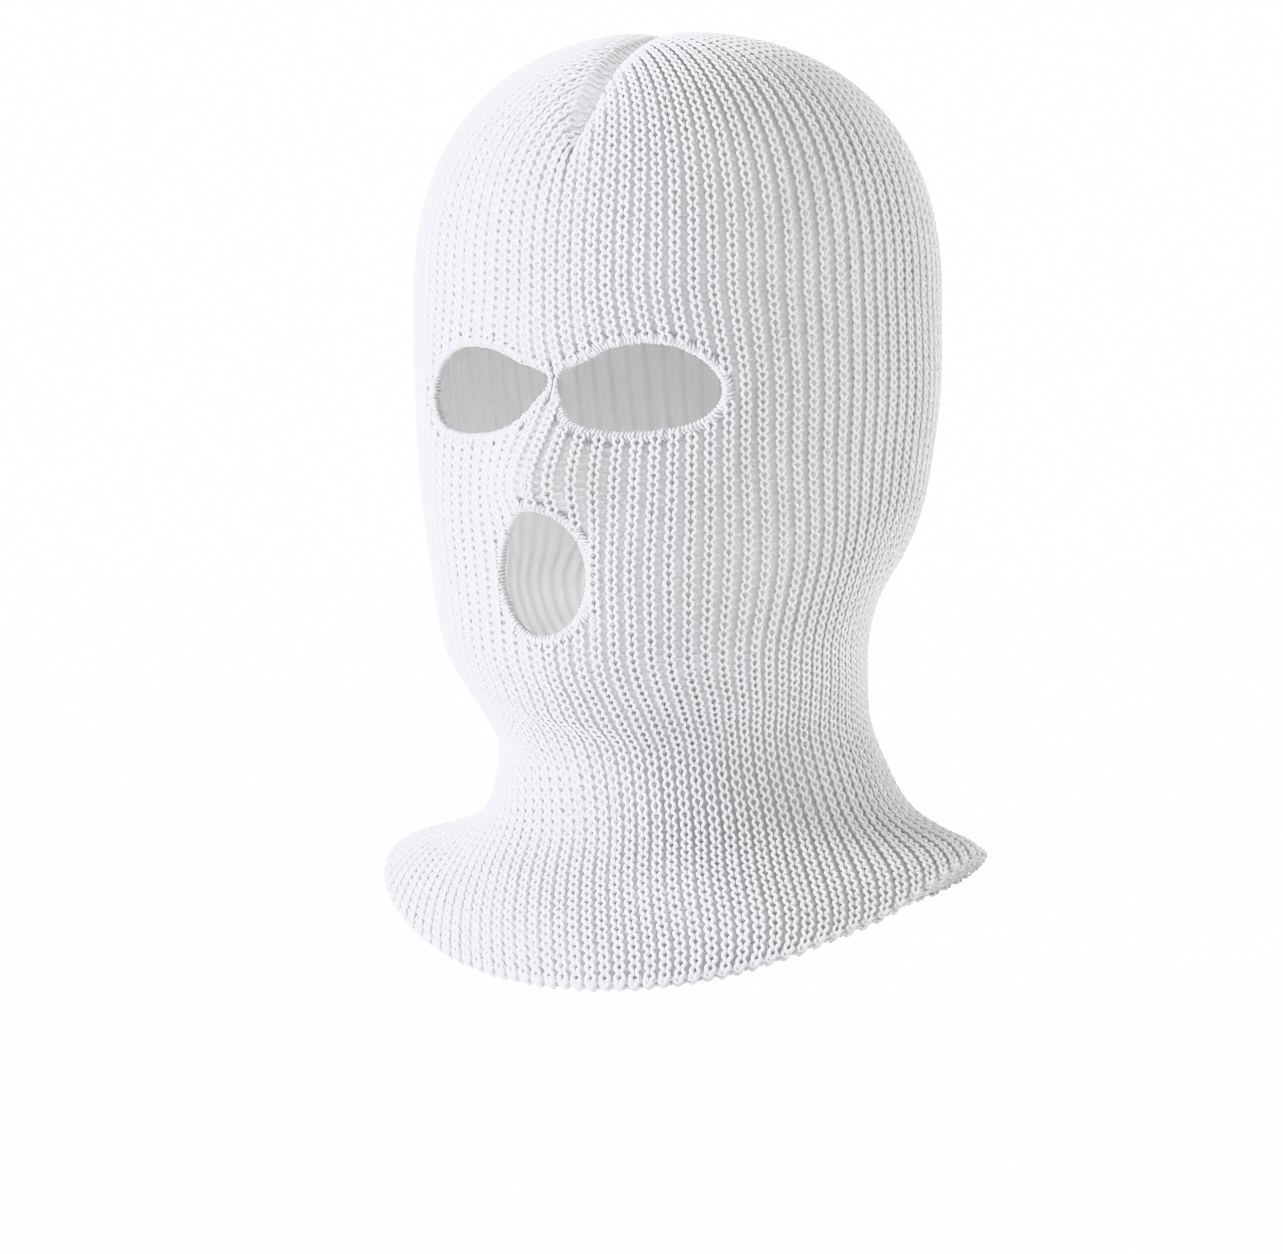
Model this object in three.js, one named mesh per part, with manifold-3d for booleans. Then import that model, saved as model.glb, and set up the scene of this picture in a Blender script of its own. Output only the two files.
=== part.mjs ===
// A three-hole knitted balaclava in the shape it takes when it is worn: open neck, hollow head.
// Millimetres, +Z up. The face looks towards -Y and the wearer's left is +X.
// The origin is inside the crown, on the head's axis, where the top of a head would touch the knit.
// Heights below are measured from the lowest point of the hem, and the whole group is lowered at the end.
import * as THREE from "three";
import { mergeVertices } from "three/addons/utils/BufferGeometryUtils.js";
import Module from "manifold-3d";

const FABRIC = 3; // thickness of the rib knit
const GAP = 0.3; // clearance between neighbouring pieces
const CROWN_TOP = 317; // outer height of the crown above the lowest point of the hem
const DOME_BASE = 226; // height at which the head starts to round over into the crown
const DOME_FULLNESS = 2.35; // exponent of the crown's profile: 2 is an ellipse, more is squarer
const SEAM_REACH = 0.88; // how far the crown seam runs towards the brow, as a share of the head's depth
const SEAM_SLOT = 2.4; // width of the slot that the crown and back seams lie in
const SEAM_WIDTH = 1.8; // thickness of the two sewn-together seam allowances
const CROWN_SEAM_DEPTH = 7; // how far the crown seam's allowance hangs inside
const BACK_SEAM_DEPTH = 4;
const TRIM_WIDTH = 4.5; // width of the crocheted edge round each hole
const TRIM_PROUD = 0.8; // how far that edge stands out on either side of the knit
const MOUTH = { height: 132.8, halfWidth: 15.5, halfHeight: 20 };
const ANGLE_STEP = 7; // degrees between the columns of a zone's mesh
const LEVEL_STEP = 0.5; // ring levels between its rows
const DOME_STEP = 0.125; // the same over the crown, where one level goes from the brow to the seam
const HALF_GAP_ANGLE = 0.12; // degrees: half of a gap between two zones side by side
const HALF_GAP_LEVEL = 0.012; // levels: half of a gap between a zone and the one above it
const FRONT_DROOP = 1.4; // exponents that shape how a ring sags from the shoulders to the chest and back
const BACK_DROOP = 1.8;
const HEM_LEVELS = 0.42; // the hem welt's height, as a share of the lowest ring of the collar
const WHITE = 0xf1f1f2;
const TRIM_WHITE = 0xebebed;

// Levels of the knit from hem to brow. front, side and back are a ring's heights; F, B and W its reach
// forwards, backwards and sideways; centre is where along Y it is widest; square is the exponent of its
// front half, below 2 for the narrower jaw; twist is how far the draped collar is turned, in degrees.
const RINGS = [
  { front: 0, side: 38, back: 4, F: 101, B: 118, W: 102, centre: 6, square: 2, twist: 10 },
  { front: 14, side: 41.5, back: 18, F: 94, B: 112, W: 94.5, centre: 9, square: 2, twist: 9 },
  { front: 30, side: 45, back: 35, F: 81, B: 104, W: 83, centre: 13, square: 2, twist: 7 },
  { front: 46, side: 51, back: 52, F: 67, B: 96, W: 72, centre: 15, square: 2, twist: 5 },
  { front: 61, side: 63, back: 70, F: 64, B: 87, W: 65.5, centre: 12, square: 2, twist: 3 },
  { front: 74, side: 79, back: 88, F: 68, B: 76, W: 62.5, centre: 5, square: 1.95, twist: 1.5 },
  { front: 89, side: 97, back: 106, F: 86, B: 63.5, W: 67.5, centre: -8, square: 1.85, twist: 0 },
  { front: 103, side: 111, back: 118, F: 97, B: 59, W: 71.5, centre: -15, square: 1.85, twist: 0 },
  { front: 119, side: 125, back: 129, F: 99.5, B: 60, W: 75, centre: -12, square: 1.9, twist: 0 },
  { front: 134, side: 139, back: 141, F: 101, B: 80.5, W: 78.5, centre: -5, square: 1.95, twist: 0 },
  { front: 151, side: 154, back: 156, F: 101.5, B: 92, W: 82, centre: 0, square: 2, twist: 0 },
  { front: 171, side: 171, back: 171, F: 100, B: 97, W: 85, centre: 0, square: 2, twist: 0 },
  { front: 193, side: 193, back: 193, F: 97, B: 101, W: 87.5, centre: 0, square: 2, twist: 0 },
  { front: 211, side: 211, back: 211, F: 97.5, B: 102, W: 88, centre: 0, square: 2, twist: 0 },
  { front: 226, side: 226, back: 226, F: 97.5, B: 102, W: 88, centre: 0, square: 2, twist: 0 },
];
const BROW = RINGS.length - 1; // the last ring; levels past it are the dome, and BROW + 1 is its seam
const SEAM = BROW + 1;

// The wearer's left eye hole as points (x, height), from its inner corner over the top and back.
const EYE = [
  [2, 197.3], [13, 202], [21.8, 206], [32, 207.5], [41, 206.6], [49, 202.4], [53.5, 196.5],
  [54, 190.5], [50.5, 185], [44, 181.6], [35, 180], [25.3, 179.9], [16.5, 181], [9.3, 184.6],
  [4.8, 190.8],
];

const wasm = await Module();
wasm.setup();

// ---- the worn surface ------------------------------------------------------------------------------

const radians = THREE.MathUtils.degToRad;

// Catmull-Rom value of each ring measure at a level that need not be whole.
function ringAt(level) {
  const i = Math.min(Math.floor(level), BROW - 1);
  const t = level - i;
  const at = (k) => RINGS[THREE.MathUtils.clamp(k, 0, BROW)];
  const ring = {};
  for (const key of Object.keys(RINGS[0])) {
    const [a, b, c, d] = [at(i - 1)[key], at(i)[key], at(i + 1)[key], at(i + 2)[key]];
    const slopeB = (c - a) / 2;
    const slopeC = (d - b) / 2;
    const cubic = 2 * b - 2 * c + slopeB + slopeC;
    const square = 3 * (c - b) - 2 * slopeB - slopeC;
    ring[key] = ((cubic * t + square) * t + slopeB) * t + b;
  }
  return ring;
}

const bell = (distance, spread) => Math.exp(-((distance / spread) ** 2));

// How far the face stands forward of its ring: the knit tented over the nose, and the eye hollows.
function faceRelief(x, height) {
  const nose = 15 * bell(x, 17) * bell(height - 162, height > 162 ? 17 : 11);
  const bridge = 5 * bell(x, 20) * bell(height - 197, 10);
  const hollow = 5 * bell(Math.abs(x) - 28, 16) * bell(height - 193, 13);
  return nose - bridge - hollow;
}

// A point of the outer face between hem and brow. angle is 0 at the nose and 90 degrees at the left ear.
function tubePoint(angle, level) {
  const ring = ringAt(level);
  const [s, c] = [Math.sin(angle), Math.cos(angle)];
  const turned = Math.cos(angle - radians(ring.twist));
  const drop = turned > 0 ? ring.front - ring.side : ring.back - ring.side;
  const height = ring.side + drop * Math.abs(turned) ** (turned > 0 ? FRONT_DROOP : BACK_DROOP);
  const front = c > 0;
  const power = front ? 2 / ring.square : 1;
  const x = ring.W * Math.sign(s) * Math.abs(s) ** power;
  const reach = front ? -(ring.F + ring.centre) : ring.B - ring.centre;
  const y = ring.centre + reach * Math.abs(c) ** power;
  return new THREE.Vector3(x, front ? y - faceRelief(x, height) * Math.sqrt(c) : y, height);
}

// A point of the crown. Each rib leaves the brow ring and ends on the seam over the middle of the head.
function domePoint(angle, rise) {
  const brow = RINGS[BROW];
  const [s, c] = [Math.sin(angle), Math.cos(angle)];
  const depth = c > 0 ? brow.F : brow.B;
  const inwards = 1 - Math.cos((rise * Math.PI) / 2) ** (2 / DOME_FULLNESS);
  const x = brow.W * s * (1 - inwards);
  const y = -depth * c * (1 - inwards + inwards * SEAM_REACH);
  const spread = Math.min(Math.hypot(x / brow.W, y / depth), 1);
  const lift = (1 - spread ** DOME_FULLNESS) ** (1 / DOME_FULLNESS);
  return new THREE.Vector3(x, y, DOME_BASE + (CROWN_TOP - DOME_BASE) * lift);
}

function domeNormal(p) {
  const brow = RINGS[BROW];
  const depth = p.y < 0 ? brow.F : brow.B;
  const spread = Math.max(Math.hypot(p.x / brow.W, p.y / depth), 1e-3);
  const lift = Math.max((p.z - DOME_BASE) / (CROWN_TOP - DOME_BASE), 0);
  const across = spread ** (DOME_FULLNESS - 2);
  return new THREE.Vector3(
    (across * p.x) / brow.W ** 2,
    (across * p.y) / depth ** 2,
    lift ** (DOME_FULLNESS - 1) / (CROWN_TOP - DOME_BASE),
  ).normalize();
}

function facePoint(angle, level) {
  return level > BROW ? domePoint(angle, level - BROW) : tubePoint(angle, level);
}

function faceNormal(angle, level) {
  if (level > BROW) return domeNormal(domePoint(angle, level - BROW));
  const step = 1e-3;
  const around = tubePoint(angle + step, level).sub(tubePoint(angle - step, level));
  const low = Math.max(level - step, 0);
  const high = Math.min(level + step, BROW);
  const up = tubePoint(angle, high).sub(tubePoint(angle, low));
  return around.cross(up).normalize();
}

// A point at a depth under the outer face.
function within(angle, level, depth) {
  return facePoint(angle, level).addScaledVector(faceNormal(angle, level), -depth);
}

// The level whose height at this angle is the one wanted, between the hem and the brow.
function levelAt(height, angle = 0) {
  let [low, high] = [0, BROW];
  for (let i = 0; i < 40; i++) {
    const middle = (low + high) / 2;
    if (tubePoint(angle, middle).z < height) low = middle;
    else high = middle;
  }
  return low;
}

// The place on the front of the face that has this x and height.
function facePlace(x, height) {
  let [angle, level] = [0, levelAt(height)];
  for (let i = 0; i < 8; i++) {
    const ring = ringAt(level);
    angle = Math.sign(x) * Math.asin((Math.abs(x) / ring.W) ** (ring.square / 2));
    level = levelAt(height, angle);
  }
  return { angle, level };
}

// ---- meshes ----------------------------------------------------------------------------------------

// A closed body between two matching grids of points, as rows of points.
function bodyBetween(outer, inner) {
  const [rows, columns] = [outer.length, outer[0].length];
  const positions = [...outer.flat(), ...inner.flat()].flatMap((p) => p.toArray());
  const out = (j, i) => j * columns + i;
  const into = (j, i) => (rows + j) * columns + i;
  const index = [];
  const quad = (a, b, c, d) => index.push(a, b, c, a, c, d);
  for (let j = 0; j < rows - 1; j++) {
    for (let i = 0; i < columns - 1; i++) {
      quad(out(j, i), out(j, i + 1), out(j + 1, i + 1), out(j + 1, i));
      quad(into(j, i), into(j + 1, i), into(j + 1, i + 1), into(j, i + 1));
    }
    quad(out(j, 0), out(j + 1, 0), into(j + 1, 0), into(j, 0));
    quad(out(j, columns - 1), into(j, columns - 1), into(j + 1, columns - 1), out(j + 1, columns - 1));
  }
  for (let i = 0; i < columns - 1; i++) {
    quad(out(0, i), into(0, i), into(0, i + 1), out(0, i + 1));
    quad(out(rows - 1, i), out(rows - 1, i + 1), into(rows - 1, i + 1), into(rows - 1, i));
  }
  return solid(indexed(positions, index));
}

// A ring of equal sections, joined round and closed on itself.
function ringBody(sections) {
  const [count, corners] = [sections.length, sections[0].length];
  const positions = sections.flat().flatMap((p) => p.toArray());
  const index = [];
  for (let j = 0; j < count; j++) {
    for (let i = 0; i < corners; i++) {
      const a = j * corners + i;
      const b = j * corners + ((i + 1) % corners);
      const c = ((j + 1) % count) * corners + ((i + 1) % corners);
      const d = ((j + 1) % count) * corners + i;
      index.push(a, b, c, a, c, d);
    }
  }
  return solid(indexed(positions, index));
}

function indexed(positions, index) {
  const geometry = new THREE.BufferGeometry();
  geometry.setAttribute("position", new THREE.Float32BufferAttribute(positions, 3));
  geometry.setIndex(index);
  return geometry;
}

// A manifold-3d solid of a closed geometry, turned right side out if its faces point inwards.
function solid(geometry) {
  const bare = geometry.clone();
  bare.deleteAttribute("normal");
  bare.deleteAttribute("uv");
  const merged = mergeVertices(bare, 1e-4);
  const vertProperties = new Float32Array(merged.attributes.position.array);
  const triVerts = new Uint32Array(merged.index.array);
  const build = () => new wasm.Manifold(new wasm.Mesh({ numProp: 3, vertProperties, triVerts }));
  const made = build();
  if (made.volume() > 0) return made;
  triVerts.reverse();
  return build();
}

function geometryOf(made) {
  const mesh = made.getMesh();
  return indexed(Array.from(mesh.vertProperties), Array.from(mesh.triVerts));
}

// ---- cutters ---------------------------------------------------------------------------------------

function block(low, high) {
  const size = high.map((value, i) => value - low[i]);
  const box = new THREE.BoxGeometry(...size);
  box.translate(...low.map((value, i) => value + size[i] / 2));
  return solid(box);
}

// The outline of a hole pushed outwards by a width, as (x, height) points. An eye keeps to its own side.
function widened(outline, width, side) {
  const count = outline.length;
  return outline.map(([x, height], i) => {
    const before = outline[(i + count - 1) % count];
    const after = outline[(i + 1) % count];
    const along = new THREE.Vector2(after[0] - before[0], after[1] - before[1]).normalize();
    const turn = area(outline) > 0 ? 1 : -1;
    const wide = x + along.y * width * turn;
    const kept = side === 0 ? wide : side * Math.max(side * wide, GAP / 2);
    return [kept, height - along.x * width * turn];
  });
}

function area(outline) {
  return THREE.ShapeUtils.area(outline.map(([x, y]) => new THREE.Vector2(x, y)));
}

// A closed smooth outline through a few points, resampled evenly.
function smoothOutline(points, count) {
  const through = points.map(([x, height]) => new THREE.Vector3(x, height, 0));
  const curve = new THREE.CatmullRomCurve3(through, true, "centripetal");
  return curve.getSpacedPoints(count).slice(0, count).map((p) => [p.x, p.y]);
}

// A cutter through the front of the mask with a hole's outline.
function throughFace(outline) {
  const shape = new THREE.Shape(outline.map(([x, height]) => new THREE.Vector2(x, height)));
  const cutter = new THREE.ExtrudeGeometry(shape, { depth: 120, bevelEnabled: false });
  cutter.rotateX(Math.PI / 2);
  cutter.translate(0, -25, 0);
  return solid(cutter);
}

// ---- the pieces ------------------------------------------------------------------------------------

// Values from one end to the other, by way of the whole multiples of a step in between.
function stops(from, to, step) {
  const first = Math.ceil(from / step + 0.2);
  const last = Math.floor(to / step - 0.2);
  const middle = Array.from({ length: Math.max(last - first + 1, 0) }, (_, i) => (first + i) * step);
  return [from, ...middle, to];
}

// A zone of the knit between two angles in degrees and two levels, with half a gap left all round.
// Neighbouring zones share their stops, so that their edges run alongside each other.
function zone({ from, to, low, high, angleStep = ANGLE_STEP }) {
  const angles = stops(from + HALF_GAP_ANGLE, to - HALF_GAP_ANGLE, angleStep);
  const [bottom, top] = [low + HALF_GAP_LEVEL, high < SEAM ? high - HALF_GAP_LEVEL : high];
  const tube = stops(bottom, Math.min(top, BROW), LEVEL_STEP);
  const dome = stops(Math.max(bottom, BROW), top, DOME_STEP);
  const levels = bottom > BROW ? dome : top > BROW ? [...tube, ...dome.slice(1)] : tube;
  const grid = (depth) => levels.map((level) => angles.map((angle) => within(radians(angle), level, depth)));
  return bodyBetween(grid(0), grid(FABRIC));
}

// The mirror image of a zone on the wearer's right.
const mirrored = (limits) => ({ ...limits, from: -limits.to, to: -limits.from });

// A band that follows a hole's outline on the face. Its section has shares of the width, and heights
// above the outer face of the knit.
function bandRound(outline, side, width, section) {
  const outside = widened(outline, width, side);
  return ringBody(
    outline.map(([x, height], i) =>
      section.map(([across, proud]) => {
        const wide = x + (outside[i][0] - x) * across;
        const tall = height + (outside[i][1] - height) * across;
        const place = facePlace(wide, tall);
        return within(place.angle, place.level, -proud);
      }),
    ),
  );
}

// The crocheted edge of a hole: a narrow band that wraps the cut knit and stands a little proud.
function holeTrim(outline, side) {
  return bandRound(outline, side, TRIM_WIDTH, [
    [0, -FABRIC * 0.5],
    [0.15, TRIM_PROUD * 0.7],
    [0.5, TRIM_PROUD],
    [1, 0],
    [1, -FABRIC],
    [0.5, -FABRIC - TRIM_PROUD],
    [0.15, -FABRIC - TRIM_PROUD * 0.7],
  ]);
}

// Takes the hole and the room for its edge out of a zone of the knit.
function holeCutters(outline, side) {
  const above = FABRIC;
  const below = -FABRIC * 2;
  const section = [[0, above], [0.5, above], [1, above], [1, below], [0.5, below], [0, below]];
  return [throughFace(widened(outline, 1, side)), bandRound(outline, side, TRIM_WIDTH + 1.5 * GAP, section)];
}

// A sewn seam: two edges of knit joined face to face, standing in the middle plane of the head.
function seamStrip(places, depth) {
  const wall = (x, deep) => places.map(([angle, level]) => within(angle, level, deep).setX(x));
  const half = SEAM_WIDTH / 2;
  const left = [wall(half, 1), wall(half, FABRIC + depth)];
  const right = [wall(-half, 1), wall(-half, FABRIC + depth)];
  return bodyBetween(left, right);
}

// The cast-on edge: the lowest courses of the collar, closed round.
function hemWelt() {
  const count = 72;
  const top = HEM_LEVELS - 0.02;
  return ringBody(
    Array.from({ length: count }, (_, i) => {
      const angle = (i * 2 * Math.PI) / count;
      return [
        within(angle, 0, 0.4),
        within(angle, HEM_LEVELS * 0.3, 0),
        within(angle, top, 0),
        within(angle, top, FABRIC),
        within(angle, HEM_LEVELS * 0.3, FABRIC),
        within(angle, 0, FABRIC - 0.4),
      ];
    }),
  );
}

const leftEye = smoothOutline(EYE, 48);
const rightEye = leftEye.map(([x, height]) => [-x, height]);
const mouth = Array.from({ length: 40 }, (_, i) => {
  const turn = (i * 2 * Math.PI) / 40;
  return [MOUTH.halfWidth * Math.cos(turn), MOUTH.height + MOUTH.halfHeight * Math.sin(turn)];
});

const leftEyeCut = holeCutters(leftEye, 1);
const rightEyeCut = holeCutters(rightEye, -1);
const mouthCut = holeCutters(mouth, 0);
const hairline = GAP / 2;
const middleCut = block([-hairline, -130, -10], [hairline, 130, 330]);
const slot = SEAM_SLOT / 2;
const crownSlot = block([-slot, -130, 273], [slot, 130, 330]);
const backSlot = block([-slot, 0, -10], [slot, 130, 330]);

const LOW_CROWN = BROW + 0.5; // the course at which the head zones end and the two crown halves start
const JAW = 6; // the ring under the chin, where the face ends and the neck starts
const NECK = 3; // the ring at the bottom of the neck, where the collar starts
const FACE_EDGE = 43.5; // angle just outside the eye holes
const MOUTH_EDGE = 8.4; // angle of the face zones' edge beside the mouth
const SIDE_EDGE = 100; // angle just behind the ears
const FRONT_EDGE = 60; // half angle of the neck's and collar's front zones
const UNDER_EYES = levelAt(183.5);
const OVER_EYES = levelAt(201);

const crown = { from: 0, to: 180, low: LOW_CROWN, high: SEAM };
const side = { from: FACE_EDGE, to: SIDE_EDGE, low: JAW, high: LOW_CROWN };
const back = { from: SIDE_EDGE, to: 180, low: JAW, high: LOW_CROWN };
const cheek = { from: MOUTH_EDGE, to: FACE_EDGE, low: JAW, high: UNDER_EYES };
const neckSide = { from: FRONT_EDGE, to: 180, low: NECK, high: JAW };
const collarSide = { from: FRONT_EDGE, to: 180, low: HEM_LEVELS, high: NECK };
const forehead = { from: -FACE_EDGE, to: FACE_EDGE, low: OVER_EYES, high: LOW_CROWN };
const nose = { from: -MOUTH_EDGE, to: MOUTH_EDGE, low: levelAt(147), high: levelAt(196), angleStep: 2.8 };
const chin = { from: -MOUTH_EDGE, to: MOUTH_EDGE, low: JAW, high: levelAt(118.6) };
const neckFront = { from: -FRONT_EDGE, to: FRONT_EDGE, low: NECK, high: JAW };
const collarFront = { from: -FRONT_EDGE, to: FRONT_EDGE, low: HEM_LEVELS, high: NECK };

// Cuts a piece and drops the slivers that are left beside the cut.
function cut(made, ...cutters) {
  const left = cutters.reduce((rest, cutter) => rest.subtract(cutter), made);
  return left.decompose().reduce((most, one) => (one.volume() > most.volume() ? one : most));
}

const seamSteps = Array.from({ length: 33 }, (_, i) => i / 32);
const crownSeamPlaces = seamSteps.map((share) => [radians(1.4 + 177.2 * share), SEAM]);
const backSeamPlaces = seamSteps.map((share) => [Math.PI, HEM_LEVELS + 0.05 + (BROW + 0.3) * share]);

const pieces = {
  crown_left: cut(zone(crown), middleCut, crownSlot, backSlot),
  crown_right: cut(zone(mirrored(crown)), middleCut, crownSlot, backSlot),
  crown_seam: seamStrip(crownSeamPlaces, CROWN_SEAM_DEPTH),
  forehead: cut(zone(forehead), ...leftEyeCut, ...rightEyeCut),
  side_left: cut(zone(side), ...leftEyeCut),
  side_right: cut(zone(mirrored(side)), ...rightEyeCut),
  back_left: cut(zone(back), backSlot),
  back_right: cut(zone(mirrored(back)), backSlot),
  back_seam: seamStrip(backSeamPlaces, BACK_SEAM_DEPTH),
  nose_panel: cut(zone(nose), ...leftEyeCut, ...rightEyeCut, ...mouthCut),
  cheek_left: cut(zone(cheek), ...leftEyeCut, ...mouthCut),
  cheek_right: cut(zone(mirrored(cheek)), ...rightEyeCut, ...mouthCut),
  chin_panel: cut(zone(chin), ...mouthCut),
  neck_front: zone(neckFront),
  neck_left: cut(zone(neckSide), backSlot),
  neck_right: cut(zone(mirrored(neckSide)), backSlot),
  collar_front: zone(collarFront),
  collar_left: cut(zone(collarSide), backSlot),
  collar_right: cut(zone(mirrored(collarSide)), backSlot),
  hem_welt: hemWelt(),
  eye_trim_left: holeTrim(leftEye, 1),
  eye_trim_right: holeTrim(rightEye, -1),
  mouth_trim: holeTrim(mouth, 0),
};

const isEdge = (name) => /trim|seam/.test(name);

const balaclava = new THREE.Group();
for (const [name, made] of Object.entries(pieces)) {
  const colour = isEdge(name) ? TRIM_WHITE : WHITE;
  const material = new THREE.MeshStandardMaterial({ color: colour, roughness: 0.92, metalness: 0 });
  const mesh = new THREE.Mesh(geometryOf(made), material);
  mesh.name = name;
  balaclava.add(mesh);
}
balaclava.position.z = FABRIC - CROWN_TOP;
balaclava.updateMatrixWorld(true);

export default balaclava;
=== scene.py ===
# A white three-hole rib-knit balaclava in its worn shape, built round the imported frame.
# The knit is worked out in millimetres above the hem, as its rings are, and to_frame makes metres of it.
import math

import bpy
import numpy as np
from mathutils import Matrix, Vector

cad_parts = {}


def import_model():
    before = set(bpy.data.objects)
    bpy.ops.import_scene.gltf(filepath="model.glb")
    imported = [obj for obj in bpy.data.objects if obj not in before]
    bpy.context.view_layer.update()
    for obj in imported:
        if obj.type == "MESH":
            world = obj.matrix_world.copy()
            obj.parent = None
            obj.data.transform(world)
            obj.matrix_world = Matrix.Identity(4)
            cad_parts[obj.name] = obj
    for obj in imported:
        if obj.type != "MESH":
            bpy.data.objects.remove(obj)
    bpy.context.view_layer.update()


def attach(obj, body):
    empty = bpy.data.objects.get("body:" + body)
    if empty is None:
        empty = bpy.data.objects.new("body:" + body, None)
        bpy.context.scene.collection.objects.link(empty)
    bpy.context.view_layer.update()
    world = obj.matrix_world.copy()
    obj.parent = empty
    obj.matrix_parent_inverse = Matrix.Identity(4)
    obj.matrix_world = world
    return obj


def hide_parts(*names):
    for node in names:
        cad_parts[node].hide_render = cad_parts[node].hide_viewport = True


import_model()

# ---- driving sizes, in millimetres ---------------------------------------------------------------

FABRIC = 3.0  # thickness of the rib knit
CROWN_TOP = 317.0
DOME_BASE = 226.0
DOME_FULLNESS = 2.35
SEAM_REACH = 0.88  # how far the crown seam runs, as a share of the head's depth
ORIGIN_HEIGHT = CROWN_TOP - FABRIC  # the frame's origin is inside the crown
FRONT_DROOP, BACK_DROOP = 1.4, 1.8  # exponents of a ring's fall from its sides to its front and its back
TRIM_WIDTH = 4.5
MOUTH = {"height": 132.8, "half_width": 15.5, "half_height": 20.0}

RIBS = 90
ROWS = 104  # steps of the surface along a rib, whatever its length
STITCH, STITCH_LOOSE = 3.0, 3.6  # length of one stitch on the face, and on the collar and the crown
YARN = 0.58  # radius of one strand of the yarn on the head
SEAM_CROWDING = 1.15  # how much wider apart the ribs meet the crown seam at its ends than half-way

SEAM_TURN = 0.9  # how late the ribs beside the seam's front end turn into it
SEAM_DRIFT = 5.0  # how far the worn crown seam strays to the wearer's left in front
SEAM_DRIFT_START, SEAM_DRIFT_LENGTH = 50, 90  # where along Y it begins to stray, and over what length
SEAM_FADE = 17  # length over which the groove fades out at each end
SEAM_FADE_LEAD = 0.5  # share of that length that lies past the seam's end
SEAM_TUCK, SEAM_TUCK_REACH = 7.5, 2.9  # depth and width of the groove that the crown seam pulls in
SEAM_HOLLOW, SEAM_HOLLOW_REACH = 1.0, 9  # and of the wide hollow round the groove
FLANK_REACH = 12  # width of the flank of the groove that is pulled smooth

# Rings of the knit from hem to brow: heights of front, side and back; reach forwards, backwards and
# sideways; centre along Y; exponent of the front half; turn of the drape in degrees.
RINGS = np.array([
    [0, 38, 4, 101, 118, 102, 6, 2.0, 10],
    [14, 41.5, 18, 94, 112, 94.5, 9, 2.0, 9],
    [30, 45, 35, 81, 104, 83, 13, 2.0, 7],
    [46, 51, 52, 67, 96, 72, 15, 2.0, 5],
    [61, 63, 70, 64, 87, 65.5, 12, 2.0, 3],
    [74, 79, 88, 68, 76, 62.5, 5, 1.95, 1.5],
    [89, 97, 106, 86, 63.5, 67.5, -8, 1.85, 0],
    [103, 111, 118, 97, 59, 71.5, -15, 1.85, 0],
    [119, 125, 129, 99.5, 60, 75, -12, 1.9, 0],
    [134, 139, 141, 101, 80.5, 78.5, -5, 1.95, 0],
    [151, 154, 156, 101.5, 92, 82, 0, 2.0, 0],
    [171, 171, 171, 100, 97, 85, 0, 2.0, 0],
    [193, 193, 193, 97, 101, 87.5, 0, 2.0, 0],
    [211, 211, 211, 97.5, 102, 88, 0, 2.0, 0],
    [226, 226, 226, 97.5, 102, 88, 0, 2.0, 0],
])
BROW = len(RINGS) - 1
JAW = 6  # the ring under the jaw, below which the ribs follow the drape of neck and collar
COLLAR_TURN = 11.5  # degrees that the ribs turn with the drape at the hem
REACH_FRONT, REACH_BACK, REACH_SIDE = RINGS[BROW, 3], RINGS[BROW, 4], RINGS[BROW, 5]

# The wearer's left eye hole as points (x, height), from its inner corner over the top and back.
EYE = [
    (2, 197.3), (13, 202), (21.8, 206), (32, 207.5), (41, 206.6), (49, 202.4), (53.5, 196.5),
    (54, 190.5), (50.5, 185), (44, 181.6), (35, 180), (25.3, 179.9), (16.5, 181), (9.3, 184.6),
    (4.8, 190.8),
]
NOSE_HEIGHT, BRIDGE_HEIGHT, EYE_HEIGHT = 162, 197, 193
EYE_OUT = 28  # from the middle of the face to the middle of an eye hollow
CHEEK_CREASE = {"angle": 43, "height": 182, "depth": 1.2}  # beside the left eye, where the knit is pulled
THROAT, COLLAR_MIDDLE = 84, 20  # heights of the ripples at the throat and of the waves of the collar


# ---- the worn surface ----------------------------------------------------------------------------

def bell(distance, spread):
    return np.exp(-((distance / spread) ** 2))


def ring_at(level):
    """Catmull-Rom values of every ring measure at levels that need not be whole."""
    i = np.minimum(np.floor(level).astype(int), BROW - 1)
    t = (level - i)[..., None]
    a, b, c, d = (RINGS[np.clip(i + k, 0, BROW)] for k in (-1, 0, 1, 2))
    slope_b, slope_c = (c - a) / 2, (d - b) / 2
    cubic = 2 * b - 2 * c + slope_b + slope_c
    square = 3 * (c - b) - 2 * slope_b - slope_c
    return np.moveaxis(((cubic * t + square) * t + slope_b) * t + b, -1, 0)


def face_relief(x, height):
    """How far the face stands forward of its ring: the nose, less the bridge and the eye hollows."""
    nose = 15 * bell(x, 17) * bell(height - NOSE_HEIGHT, np.where(height > NOSE_HEIGHT, 17, 11))
    bridge = 5 * bell(x, 20) * bell(height - BRIDGE_HEIGHT, 10)
    hollow = 5 * bell(np.abs(x) - EYE_OUT, 16) * bell(height - EYE_HEIGHT, 13)
    return nose - bridge - hollow


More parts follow.
